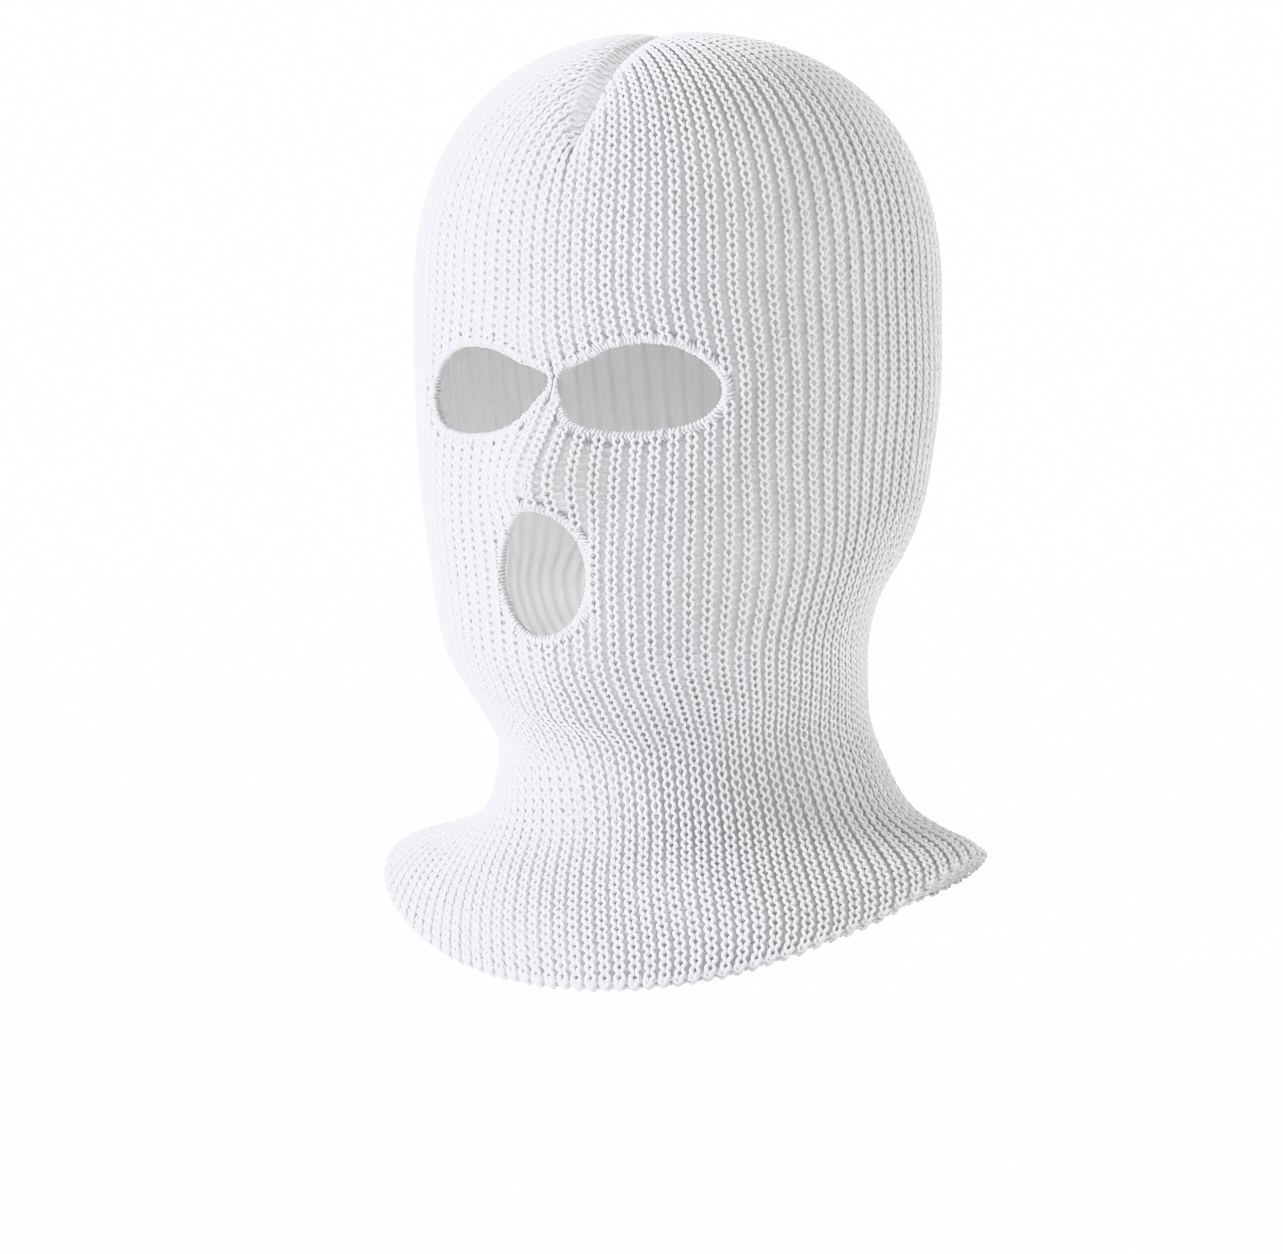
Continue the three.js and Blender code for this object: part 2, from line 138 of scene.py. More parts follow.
def tube_point(angle, level):
    """A point of the outer face from hem to brow. angle is 0 at the nose and 90 degrees at the left ear."""
    front, side, back, ahead, behind, wide, centre, square, twist = ring_at(level)
    s, c = np.sin(angle), np.cos(angle)
    turned = np.cos(angle - np.radians(twist))
    drop = np.where(turned > 0, front - side, back - side)
    height = side + drop * np.abs(turned) ** np.where(turned > 0, FRONT_DROOP, BACK_DROOP)
    power = np.where(c > 0, 2 / square, 1.0)
    x = wide * np.sign(s) * np.abs(s) ** power
    reach = np.where(c > 0, -(ahead + centre), behind - centre)
    y = centre + reach * np.abs(c) ** power
    y -= np.where(c > 0, face_relief(x, height) * np.sqrt(np.maximum(c, 0)), 0)
    return np.stack([x, y, height], -1)


def tube_normal(angle, level):
    step = 1e-3
    around = tube_point(angle + step, level) - tube_point(angle - step, level)
    up = tube_point(angle, np.minimum(level + step, BROW)) - tube_point(angle, np.maximum(level - step, 0))
    return unit(np.cross(around, up))


def unit(v):
    return v / np.maximum(np.linalg.norm(v, axis=-1, keepdims=True), 1e-12)


def dome_height(x, y):
    depth = np.where(y < 0, REACH_FRONT, REACH_BACK)
    spread = np.minimum(np.hypot(x / REACH_SIDE, y / depth), 1)
    return DOME_BASE + (CROWN_TOP - DOME_BASE) * (1 - spread ** DOME_FULLNESS) ** (1 / DOME_FULLNESS)


def dome_normal(p):
    x, y, z = np.moveaxis(p, -1, 0)
    depth = np.where(y < 0, REACH_FRONT, REACH_BACK)
    spread = np.maximum(np.hypot(x / REACH_SIDE, y / depth), 1e-3)
    lift = np.maximum((z - DOME_BASE) / (CROWN_TOP - DOME_BASE), 0)
    across = spread ** (DOME_FULLNESS - 2)
    up = lift ** (DOME_FULLNESS - 1) / (CROWN_TOP - DOME_BASE)
    return unit(np.stack([across * x / REACH_SIDE ** 2, across * y / depth ** 2, up], -1))


def seam_x(y):
    """Where the worn crown seam lies across X."""
    return SEAM_DRIFT * np.clip((SEAM_DRIFT_START - y) / SEAM_DRIFT_LENGTH, 0, 1)


def seam_y(share):
    """Where along Y a rib meets the crown seam. share is 0 at the brow end and 1 at the back."""
    y = np.linspace(-SEAM_REACH * REACH_FRONT, SEAM_REACH * REACH_BACK, 400)
    z = dome_height(np.zeros_like(y), y)
    along = np.concatenate([[0], np.cumsum(np.hypot(np.diff(y), np.diff(z)))])
    spaced = (1 - SEAM_CROWDING / 3) * share + SEAM_CROWDING * (1 - (1 - 2 * share) ** 3) / 6
    return np.interp(spaced * along[-1], along, y)


def rib_spread(level):
    """How the ribs lie round a ring: their turn with the collar's drape in degrees, then how far they are
    pushed out of even spacing once, twice, three and four times round it, in radians."""
    below = np.clip(1 - level / JAW, 0, 1)
    above = np.clip((level - JAW) / (BROW - JAW), 0, 1)
    brow = bell(level - BROW, 1.4)
    turned = COLLAR_TURN * bell(level, 2.6)
    once = 0.08 - 0.36 * below ** 1.5 - 0.2 * above
    twice = 0.05 * bell(level - 7.5, 2.5) - 0.07 * bell(level, 3.5)
    three = 0.03 * bell(level, 2) - 0.02 * bell(level - 4.5, 1) + 0.02 * bell(level - 9.5, 2) - 0.02 * brow
    four = 0.03 * bell(level - 5, 1.3) - 0.035 * bell(level - 9, 1.6) - 0.02 * brow
    return turned, once, twice, three, four


def rib_angle(u, level):
    """The angle at which rib coordinate u lies on a ring."""
    turned, *pushes = rib_spread(level)
    turn = 2 * math.pi * u / RIBS
    return turn + np.radians(turned) + sum(push * np.sin((k + 1) * turn) for k, push in enumerate(pushes))


TUBE_STEPS, DOME_STEPS = 240, 160  # points along a rib before it is resampled


def rib_paths(u):
    """Points and normals along ribs from the hem to the crown seam, resampled to even rows."""
    levels = np.linspace(0, BROW, TUBE_STEPS)[None, :]
    angles = rib_angle(u[:, None], levels)
    levels = np.broadcast_to(levels, angles.shape)
    tube = tube_point(angles, levels)
    brow = tube[:, -1]
    share = 1 - np.abs(1 - 2 * u / RIBS)
    end = seam_y(share)
    target = np.stack([seam_x(end), end], -1)
    rise = np.linspace(0, 1, DOME_STEPS)[1:]
    inwards = 1 - np.cos(rise * math.pi / 2) ** (2 / DOME_FULLNESS)
    turning = 1 + SEAM_TURN * bell(share, 0.16)[:, None]
    closing = np.stack([inwards ** turning, np.broadcast_to(inwards, (len(u), len(rise)))], -1)
    plan = brow[:, None, :2] * (1 - closing) + target[:, None] * closing
    dome = np.concatenate([plan, dome_height(plan[..., 0], plan[..., 1])[..., None]], -1)
    points = np.concatenate([tube, dome], 1)
    normals = np.concatenate([tube_normal(angles, levels), dome_normal(dome)], 1)
    return points, normals


FINE_COLUMNS = 8  # samples of the worn surface for each rib
FINE_ROWS = 4  # and for each row of stitches


def surface_table():
    u = np.arange(RIBS * FINE_COLUMNS + 1) / FINE_COLUMNS
    points, normals = rib_paths(u)
    length = np.linalg.norm(np.diff(points, axis=1), axis=-1)
    along = np.concatenate([np.zeros((len(u), 1)), np.cumsum(length, 1)], 1)
    rows = np.linspace(0, 1, ROWS * FINE_ROWS + 1)
    both = np.concatenate([points, normals], -1)
    table = np.empty((len(u), len(rows), 6))
    for k in range(len(u)):
        for axis in range(6):
            table[k, :, axis] = np.interp(rows * along[k, -1], along[k], both[k, :, axis])
    table[..., 3:] = unit(table[..., 3:])
    table[..., :3] += table[..., 3:] * soft_folds(table[..., :3])[..., None]
    return table


def soft_folds(p):
    """The shallow folds of the worn knit: a crease beside the eye, ripples at the throat, a wavy collar."""
    x, y, z = np.moveaxis(p, -1, 0)
    angle = np.degrees(np.arctan2(x, -y))
    beside = angle - CHEEK_CREASE["angle"] - 0.1 * (z - 185)
    crease = CHEEK_CREASE["depth"] * bell(beside, 3.2) * bell(z - CHEEK_CREASE["height"], 17)
    ripples = 0.8 * np.sin((z + 0.25 * x) / 2.6) * bell(z - THROAT, 13) * bell(angle - 10, 50)
    collar = 0.9 * np.sin(np.radians(angle) * 7 + z / 9) * bell(z - COLLAR_MIDDLE, 22)
    return ripples + collar - crease


TABLE = surface_table()
RIB_LENGTH = np.linalg.norm(np.diff(TABLE[..., :3], axis=1), axis=-1).sum(1)


def step_length(u):
    """Length of one surface step along a rib, in millimetres."""
    return np.interp(u % RIBS, np.arange(len(RIB_LENGTH)) / FINE_COLUMNS, RIB_LENGTH) / ROWS


def knit_at(u, v):
    """The outer face's point and normal at rib coordinate u and row v."""
    columns = (u % RIBS) * FINE_COLUMNS
    rows = np.clip(v, 0, ROWS) * FINE_ROWS
    i = np.minimum(columns.astype(int), RIBS * FINE_COLUMNS - 1)
    j = np.minimum(rows.astype(int), ROWS * FINE_ROWS - 1)
    s, t = (columns - i)[..., None], (rows - j)[..., None]
    low = TABLE[i, j] * (1 - s) + TABLE[i + 1, j] * s
    high = TABLE[i, j + 1] * (1 - s) + TABLE[i + 1, j + 1] * s
    value = low * (1 - t) + high * t
    return value[..., :3], unit(value[..., 3:])


def lie_at(u, v):
    """How the knit lies at a point: the distance from one rib to the next, measured square to them, and how
    many steps the surface rows climb from one rib to the next."""
    across = knit_at(u + 0.25, v)[0] - knit_at(u - 0.25, v)[0]
    up = knit_at(u, np.minimum(v + 0.5, ROWS))[0] - knit_at(u, np.minimum(v + 0.5, ROWS) - 1)[0]
    climb = np.sum(across * up, -1) / np.maximum(np.sum(up * up, -1), 1e-9)
    square = across - up * climb[..., None]
    return np.linalg.norm(square, axis=-1) * 2, np.clip(climb * 2, -2.5, 2.5)


def pitch_at(u, v):
    return lie_at(u, v)[0]


def seam_dip(point):
    """How far the knit is drawn in towards the crown seam."""
    x, y, z = np.moveaxis(point, -1, 0)
    away, along = x - seam_x(y), along_seam(y)
    groove = SEAM_TUCK * bell(away, SEAM_TUCK_REACH * (0.4 + 0.6 * along))
    hollow = SEAM_HOLLOW * bell(away, SEAM_HOLLOW_REACH) * along
    return np.where(z > DOME_BASE, groove + hollow, 0) * along


def along_seam(y):
    """1 along the crown seam, fading to 0 at its ends."""
    before_end = np.minimum(y + SEAM_REACH * REACH_FRONT, SEAM_REACH * REACH_BACK - y)
    share = np.clip(before_end / SEAM_FADE + SEAM_FADE_LEAD, 0, 1)
    return share * share * (3 - 2 * share)


def flank_share(point):
    """1 on the flank of the seam's groove on the wearer's right, where the knit is pulled smooth."""
    x, y, z = np.moveaxis(point, -1, 0)
    away, along = x - seam_x(y), along_seam(y)
    near = np.clip((away + FLANK_REACH * along) / 7, 0, 1) * np.clip(1 - away / 1.5, 0, 1)
    return np.where(z > DOME_BASE, near, 0) * along


VALLEY_SHUT, VALLEY_OPENING = 1.2, 2.8  # from rib to rib where a valley shuts, and how much more opens it


def valley_share(u, v):
    """1 where the ribs stand apart, and less where they crowd together and close their valleys."""
    return np.clip((pitch_at(u, v) - VALLEY_SHUT) / VALLEY_OPENING, 0.25, 1)


def raised(u, v, out, tuck=1):
    """A point that stands out from the worn face by a height, less the tuck along the crown seam."""
    point, normal = knit_at(u, v)
    below_hem = (np.minimum(v, 0) * step_length(u))[..., None]
    lifted = out - tuck * seam_dip(point)
    return point + normal * lifted[..., None] + up_from_hem(u) * below_hem


def up_from_hem(u):
    """The direction in which a rib leaves the hem."""
    low, _ = knit_at(u, np.zeros_like(u))
    high, _ = knit_at(u, np.ones_like(u))
    return unit(high - low)


# ---- meshes --------------------------------------------------------------------------------------

UV_NAME = "OFBake"  # the map that the materials share


def to_frame(points):
    return (points - np.array([0, 0, ORIGIN_HEIGHT])) / 1000


def make_piece(name, vertices, faces, uvs):
    """A smooth mesh object from points in millimetres and arrays of three- and four-cornered faces."""
    mesh = bpy.data.meshes.new(name)
    vertices = to_frame(np.asarray(vertices, float).reshape(-1, 3))
    faces = [np.asarray(f, np.int32) for f in faces if len(f)]
    loops = np.concatenate([f.ravel() for f in faces])
    totals = np.concatenate([np.full(len(f), f.shape[1], np.int32) for f in faces])
    starts = np.concatenate([[0], np.cumsum(totals)[:-1]]).astype(np.int32)
    mesh.vertices.add(len(vertices))
    mesh.vertices.foreach_set("co", vertices.astype(np.float32).ravel())
    mesh.loops.add(len(loops))
    mesh.loops.foreach_set("vertex_index", loops)
    mesh.polygons.add(len(totals))
    mesh.polygons.foreach_set("loop_start", starts)
    mesh.polygons.foreach_set("loop_total", totals)
    mesh.polygons.foreach_set("use_smooth", np.ones(len(totals), bool))
    layer = mesh.uv_layers.new(name=UV_NAME)
    corners = np.concatenate([x.reshape(-1, 2) for x in uvs])
    layer.data.foreach_set("uv", corners.astype(np.float32).ravel())
    mesh.update(calc_edges=True)
    mesh.validate()
    piece = bpy.data.objects.new(name, mesh)
    bpy.context.scene.collection.objects.link(piece)
    return piece


STRAND_SIDES = 6  # corners of a strand's section


def tubes(paths, facing, radius, cells, flatness=1.0):
    """Closed tubes along many paths (count, steps, 3) with pointed ends.

    facing is a reference direction for each point, radius a number or an array (count, steps), and
    cells (count, 4) the low u, low v, width and height of each tube's patch of the UV map.
    """
    count, steps, _ = paths.shape
    sides = STRAND_SIDES
    radius = np.broadcast_to(radius, (count, steps))[..., None, None]
    along = unit(np.gradient(paths, axis=1))
    side = unit(np.cross(along, facing))
    out = np.cross(side, along)
    turn = 2 * math.pi * np.arange(sides) / sides
    ring = np.cos(turn)[:, None] * side[:, :, None] + flatness * np.sin(turn)[:, None] * out[:, :, None]
    body = paths[:, :, None] + radius * ring
    first_tip = paths[:, 0] - along[:, 0] * radius[:, 0, 0]
    last_tip = paths[:, -1] + along[:, -1] * radius[:, -1, 0]
    tips = np.stack([first_tip, last_tip], 1)
    vertices = np.concatenate([body.reshape(count, -1, 3), tips], 1)
    each = steps * sides + 2
    base = (np.arange(count) * each)[:, None, None]
    j, i = np.meshgrid(np.arange(steps - 1), np.arange(sides), indexing="ij")
    k = (i + 1) % sides
    low, high = j * sides, (j + 1) * sides
    quad = np.stack([low + i, low + k, high + k, high + i], -1).reshape(-1, 4)
    i, k = np.arange(sides), (np.arange(sides) + 1) % sides
    last = (steps - 1) * sides
    first_cap = np.stack([k, i, np.full(sides, each - 2)], -1)
    last_cap = np.stack([last + i, last + k, np.full(sides, each - 1)], -1)
    caps = np.concatenate([first_cap, last_cap])
    faces = [(base + quad).reshape(-1, 4), (base + caps).reshape(-1, 3)]
    j, i = np.meshgrid(np.arange(steps - 1), np.arange(sides), indexing="ij")
    s = np.stack([i, i + 1, i + 1, i], -1).reshape(-1, 4) / sides
    t = np.stack([j, j, j + 1, j + 1], -1).reshape(-1, 4) / (steps - 1)
    i = np.arange(sides)
    cap_s = np.concatenate([np.stack([i + 1, i, i + 0.5], -1), np.stack([i, i + 1, i + 0.5], -1)]) / sides
    cap_t = np.concatenate([np.full((sides, 3), 0.0), np.full((sides, 3), 1.0)])
    uvs = []
    for across, up in ((s, t), (cap_s, cap_t)):
        both = np.stack([across, up], -1)[None]
        uvs.append(cells[:, None, None, :2] + both * cells[:, None, None, 2:])
    return vertices.reshape(-1, 3), faces, uvs


def ring_quads(rings, closed):
    """The quads between neighbouring rings (count, corners, 3), facing outwards. closed joins the last ring
    to the first."""
    count, corners = rings.shape[:2]
    i, j = np.meshgrid(np.arange(count if closed else count - 1), np.arange(corners), indexing="ij")
    k, n = (j + 1) % corners, (i + 1) % count
    quad = np.stack([i * corners + j, i * corners + k, n * corners + k, n * corners + j], -1).reshape(-1, 4)
    points = rings.reshape(-1, 3)
    centre = np.repeat(rings.mean(1), corners, 0)
    a, b, c = (points[quad[:, m]] for m in range(3))
    away = np.sum(np.cross(b - a, c - a) * (a - centre[quad[:, 0]]), 1)
    return quad if away.sum() > 0 else quad[:, ::-1]


def band_of(rings):
    """A closed band round rings, as one part with its UVs on the left of the map."""
    count, corners = rings.shape[:2]
    i, j = np.meshgrid(np.arange(count), np.arange(corners), indexing="ij")
    s = np.stack([j, j + 1, j + 1, j], -1).reshape(-1, 4) / corners
    t = np.stack([i, i, i + 1, i + 1], -1).reshape(-1, 4) / count
    return rings.reshape(-1, 3), [ring_quads(rings, True)], [np.stack([s * 0.3, t], -1)]


def row_cells(count, low_u, width):
    """Patches of the UV map for a row of strands, one above the other."""
    low = np.arange(count) / count
    return np.stack([np.full(count, low_u), low, np.full(count, width), np.full(count, 0.9 / count)], -1)


def joined(parts):
    """One set of vertices, faces and UVs from several."""
    vertices, quads, triangles, quad_uvs, triangle_uvs = [], [], [], [], []
    offset = 0
    for points, faces, uvs in parts:
        for f, uv in zip(faces, uvs):
            wide = f.shape[1] == 4
            (quads if wide else triangles).append(f + offset)
            (quad_uvs if wide else triangle_uvs).append(uv.reshape(-1, 2))
        vertices.append(points)
        offset += len(points)
    faces = [np.concatenate(x) for x in (quads, triangles) if x]
    uvs = [np.concatenate(x) for x in (quad_uvs, triangle_uvs) if x]
    return np.concatenate(vertices), faces, uvs


# ---- the holes -----------------------------------------------------------------------------------

def smooth_outline(points, count):
    """A closed Catmull-Rom outline through a few points, resampled evenly."""
    p = np.array(points, float)
    t = np.linspace(0, 1, 24, endpoint=False)[:, None]
    a, b, c, d = (np.roll(p, -k, 0)[:, None] for k in (-1, 0, 1, 2))
    m, n = (c - a) / 2, (d - b) / 2
    curve = ((2 * b - 2 * c + m + n) * t ** 3 + (3 * (c - b) - 2 * m - n) * t ** 2 + m * t + b).reshape(-1, 2)
    closed = np.vstack([curve, curve[:1]])
    along = np.concatenate([[0], np.cumsum(np.linalg.norm(np.diff(closed, axis=0), axis=1))])
    wanted = np.linspace(0, along[-1], count, endpoint=False)
    return np.stack([np.interp(wanted, along, closed[:, k]) for k in (0, 1)], -1)


def outward(outline):
    """The direction out of the hole at each point of its outline."""
    along = unit(np.roll(outline, -1, 0) - np.roll(outline, 1, 0))
    x, h = outline.T
    area = np.sum(x * np.roll(h, -1) - np.roll(x, -1) * h)
    return np.stack([along[:, 1], -along[:, 0]], -1) * np.sign(area)


def inside(outline, x, h):
    """Which points lie inside a closed outline."""
    result = np.zeros(np.shape(x), bool)
    for (x0, h0), (x1, h1) in zip(outline, np.roll(outline, -1, 0)):
        if h0 != h1:
            crosses = (h0 > h) != (h1 > h)
            result ^= crosses & (x < (x1 - x0) * (h - h0) / (h1 - h0) + x0)
    return result


OUTLINE_POINTS = 360
LEFT_EYE = smooth_outline(EYE, OUTLINE_POINTS)
RIGHT_EYE = LEFT_EYE * [-1, 1]
TURN = 2 * math.pi * np.arange(30) / 30
MOUTH_HOLE = smooth_outline(
    np.stack([MOUTH["half_width"] * np.cos(TURN), MOUTH["height"] + MOUTH["half_height"] * np.sin(TURN)], -1),
    OUTLINE_POINTS)
SHORTENING = {}  # foreshortening of each outline, kept because it takes long to work out
FACE_Y, FACE_FOOT = -20, 60  # the holes lie forward of this Y and above this height
HOLES = {"eye_left": (LEFT_EYE, 1), "eye_right": (RIGHT_EYE, -1), "mouth": (MOUTH_HOLE, 0)}


def foreshortening(outline):
    """How much of a step outwards on the knit is seen from straight in front, round an outline."""
    _, normal = front_face(outline[:, 0], outline[:, 1])
    out = outward(outline)
    shares = 1 / np.hypot(out[:, 0] / np.maximum(np.abs(normal[:, 1]), 0.3), out[:, 1])
    near = np.arange(-12, 13)
    return np.mean([np.roll(shares, k) for k in near], 0)


def widened(outline, width, side):
    """The outline pushed outwards over the knit. An eye's keeps to its own side of the nose."""
    key = (len(outline), side)
    if key not in SHORTENING:
        SHORTENING[key] = foreshortening(outline)
    wide = outline + outward(outline) * (width * SHORTENING[key])[:, None]
    if side:
        wide[:, 0] = side * np.maximum(side * wide[:, 0], 0.3)
    return wide


def level_at(height, angle):
    """The level at which the face reaches a height, found by halving."""
    low, high = np.zeros_like(height), np.full_like(height, float(BROW))
    for _ in range(30):
        middle = (low + high) / 2
        under = tube_point(angle, middle)[..., 2] < height
        low, high = np.where(under, middle, low), np.where(under, high, middle)
    return low


def front_face(x, height):
    """The worn face's point and normal at an x and a height on the front of the mask."""
    x, height = np.asarray(x, float), np.asarray(height, float)
    angle = np.zeros_like(x)
    for _ in range(6):
        level = level_at(height, angle)
        ring = ring_at(level)
        angle = np.sign(x) * np.arcsin(np.minimum(np.abs(x) / ring[5], 1) ** (ring[7] / 2))
    level = level_at(height, angle)
    point, normal = tube_point(angle, level), tube_normal(angle, level)
    return point + normal * soft_folds(point)[..., None], normal


def in_hole(points, margin):
    """Which points of the knit lie in a hole widened by a margin."""
    x, y, h = np.moveaxis(points, -1, 0)
    found = np.zeros(x.shape, bool)
    for outline, side in HOLES.values():
        found |= inside(widened(outline, margin, side), x, h) & (y < FACE_Y)
    return found


# ---- the base knit -------------------------------------------------------------------------------

VALLEY_DEPTH, RIDGE_DEPTH = 1.7, 1.0  # of the base knit's outer face below the worn face
# Across one rib, from valley to valley: share of the pitch, and how deep the outer and the inner face lie.
PROFILE = [
    (0, VALLEY_DEPTH, 3.9), (0.22, VALLEY_DEPTH - 0.1, 3.4), (0.34, RIDGE_DEPTH, 2.7), (0.5, 1.05, 2.4),
    (0.66, RIDGE_DEPTH, 2.7), (0.78, VALLEY_DEPTH - 0.1, 3.4),
]
RIM_DEPTH = 2.6  # how deep the inner face lies round a hole
EDGE_MARGIN = 2.0  # the knit stops this far from a hole, under the edge trim
STITCH_MARGIN = 2.6  # and its stitches this far


def base_knit():
    shares = np.array([p[0] for p in PROFILE])
    u = (np.arange(RIBS)[:, None] + shares).ravel()
    columns = len(u)
    v = np.arange(ROWS + 1, dtype=float)
    uu, vv = np.meshgrid(u, v, indexing="ij")
    outer_depth = np.tile([p[1] for p in PROFILE], RIBS)[:, None]
    inner_depth = np.tile([p[2] for p in PROFILE], RIBS)[:, None]
    face, _ = knit_at(uu, vv)
    depth = RIDGE_DEPTH + (outer_depth - RIDGE_DEPTH) * valley_share(uu, vv)
    outer = raised(uu, vv, -depth * (1 - 0.85 * flank_share(face)))
    inner = raised(uu, vv, -np.broadcast_to(inner_depth, uu.shape))

    number = np.arange(columns * (ROWS + 1)).reshape(columns, ROWS + 1)
    mirror = (-np.arange(columns)) % columns
    number[:, ROWS] = np.minimum(number[:, ROWS], number[mirror, ROWS])
    i, j = np.meshgrid(np.arange(columns), np.arange(ROWS), indexing="ij")
    k = (i + 1) % columns
    quads = np.stack([number[i, j], number[k, j], number[k, j + 1], number[i, j + 1]], -1)
    middle = (face[i, j] + face[k, j] + face[k, j + 1] + face[i, j + 1]) / 4
    quads = quads[~in_hole(middle, EDGE_MARGIN)]

    flat, deep = outer.reshape(-1, 3), inner.reshape(-1, 3)
    edges = boundary_edges(quads)
    rim = np.unique(edges)
    settle_rim(flat, deep, rim, face.reshape(-1, 3))
    total = len(flat)
    walls = np.stack([edges[:, 1], edges[:, 0], edges[:, 0] + total, edges[:, 1] + total], -1)
    faces = np.concatenate([quads, quads[:, ::-1] + total, walls])
    used, faces = np.unique(faces, return_inverse=True)
    faces = faces.reshape(-1, 4)
    vertices = np.concatenate([flat, deep])[used]
    place = np.stack([np.tile(uu.ravel() / RIBS, 2), np.tile(vv.ravel() / ROWS, 2)], -1)[used]
    uv = place[faces]
    wraps = uv[..., 0].max(1) - uv[..., 0].min(1) > 0.5
    uv[wraps, :, 0] = np.where(uv[wraps, :, 0] < 0.5, uv[wraps, :, 0] + 1, uv[wraps, :, 0])
    inward = np.arange(len(faces)) >= len(quads)
    uv[..., 0] *= 0.49
    uv[inward, :, 0] += 0.5
    return make_piece("rib_knit", vertices, [faces], [uv])


def boundary_edges(quads):
    """Directed edges that only one quad has."""
    edges = np.concatenate([quads[:, [k, (k + 1) % 4]] for k in range(4)])
    ends = np.sort(edges, 1)
    _, first, count = np.unique(ends, axis=0, return_index=True, return_counts=True)
    return edges[first[count == 1]]


def settle_rim(outer, inner, rim, face):
    """Moves the stepped edge of each hole onto its smooth outline."""
    for outline, side in HOLES.values():
        wide = widened(outline, EDGE_MARGIN, side)
        x, y, h = face[rim].T
        near = np.linalg.norm(wide[None] - np.stack([x, h], -1)[:, None], axis=-1)
        closest = near.argmin(1)
        mine = (near.min(1) < 5) & (y < FACE_Y) & (h > FACE_FOOT)
        spot = wide[closest[mine]]
        point, normal = front_face(spot[:, 0], spot[:, 1])
        outer[rim[mine]] = point - normal * RIDGE_DEPTH
        inner[rim[mine]] = point - normal * RIM_DEPTH


# ---- stitches ------------------------------------------------------------------------------------

# One leg of a knit stitch: share of the rib's half width, rows up from the stitch's foot, height above
# the worn face in strand radii, and thickness as a share of the strand.
LEG = [
    (0.26, -0.26, -1.4, 0.75),
    (0.36, -0.02, -0.1, 1.0),
    (0.5, 0.16, 0.3, 1.05),
    (0.9, 0.36, 0.4, 1.05),
    (1.0, 0.55, 0.35, 1.0),
    (0.84, 0.74, 0.2, 1.0),
    (0.46, 0.92, -0.3, 0.95),
    (0.3, 1.12, -1.4, 0.8),
]
# A purl bump from side to side: share of the valley, rows up, and thickness as a share of the strand.
BUMP = [(-0.5, 0.0, 0.9), (-0.2, 0.08, 1.0), (0.2, 0.08, 1.0), (0.5, 0.0, 0.9)]
RIB_HALF_WIDTH = 2.1  # a rib keeps its own width, and the valley beside it takes up the stretch
COLLAR_ROWS, FULL_ROWS = 16, 2  # surface rows above the hem where the ribs get fuller, and are fullest
LOOSE_BELOW, LOOSE_ABOVE, LOOSE_FADE = 110, 225, 40  # heights past which stitches get longer, and over what


def collar_share(v):
    """0 on the head and neck, 1 at the hem, where the ribs are fuller."""
    return np.clip((COLLAR_ROWS - v) / (COLLAR_ROWS - FULL_ROWS), 0, 1)


def half_width(u, v):
    """Half the distance between the outer edges of a rib's two strands."""
    return np.minimum(RIB_HALF_WIDTH + 0.5 * collar_share(v), pitch_at(u, v) * 0.42)


def wobble(seed, shape, size):
    """Small random strays, the same each run."""
    return np.random.default_rng(seed).normal(0, size, shape)


def stitch_cells(ribs, starts, steps, first, width, slot):
    """Each strand's patch of the UV map: a third of its stitch's cell."""
    low_u = (ribs - first + slot / 3) / width
    return np.stack([low_u, starts / ROWS, np.full_like(low_u, 0.32 / width), 0.94 * steps / ROWS], -1)


def legs(ribs, starts, steps, first, width):
    """Both legs of every stitch given by its rib, its start along the rib and its length in surface steps."""
    parts = []
    seed = int(first) + 11
    middle = starts + 0.5 * steps
    pitch, climb = lie_at(ribs + 0.5, middle)
    across, up, out, thick = np.array(LEG).T
    for side, slot in ((-1, 0), (1, 1)):
        strand = YARN * (1 + 0.12 * collar_share(starts)) * (1 + wobble(seed + slot, len(starts), 0.05))
        spread = half_width(ribs + 0.5, middle) - strand
        sway = wobble(seed + 5 + slot, len(starts), 0.04)
        shift = side * (across * spread[:, None]) / pitch[:, None]
        shift += sway[:, None] * 0.25 * np.sin(np.linspace(0, math.pi, len(LEG)))
        v = (up + wobble(seed + 9, (len(starts), 1), 0.03)) * steps[:, None] + starts[:, None]
        u, v = ribs[:, None] + 0.5 + shift, v - climb[:, None] * shift
        height = out * strand[:, None] + 0.05
        place, normal = knit_at(u, v)
        centre = raised(u, v, height - 0.7 * flank_share(place))
        cells = stitch_cells(ribs, starts, steps, first, width, slot)
        parts.append(tubes(centre, normal, strand[:, None] * thick, cells, 0.95))
    return parts


def bumps(ribs, starts, steps, first, width):
    """The purl bumps in the valley on the left of each rib."""
    across, up, thick = np.array(BUMP).T
    middle = starts + 0.5 * steps
    pitch, climb = lie_at(ribs, middle)
    gap = 1 - (half_width(ribs + 0.5, middle) + half_width(ribs - 0.5, middle)) / pitch
    strand = YARN * (1.3 + wobble(int(first) + 31, len(starts), 0.06))
    shift = across * np.maximum(gap, 0.2)[:, None] * 1.3
    u = ribs[:, None] + shift
    v = starts[:, None] + (0.5 + up) * steps[:, None] - climb[:, None] * shift
    floor_depth = RIDGE_DEPTH + (VALLEY_DEPTH - RIDGE_DEPTH) * valley_share(ribs, middle)
    depth = floor_depth[:, None] + 0.08 + wobble(int(first) + 37, (len(starts), 1), 0.04)
    centre = raised(u, v, -depth)
    _, normal = knit_at(u, v)
    cells = stitch_cells(ribs, starts, steps, first, width, 2)
    return tubes(centre, normal, strand[:, None] * thick, cells, 0.3)


SECTORS = [
    "front_left", "cheek_left", "temple_left", "ear_left", "nape_left", "back_left",
    "back_right", "nape_right", "ear_right", "temple_right", "cheek_right", "front_right",
]


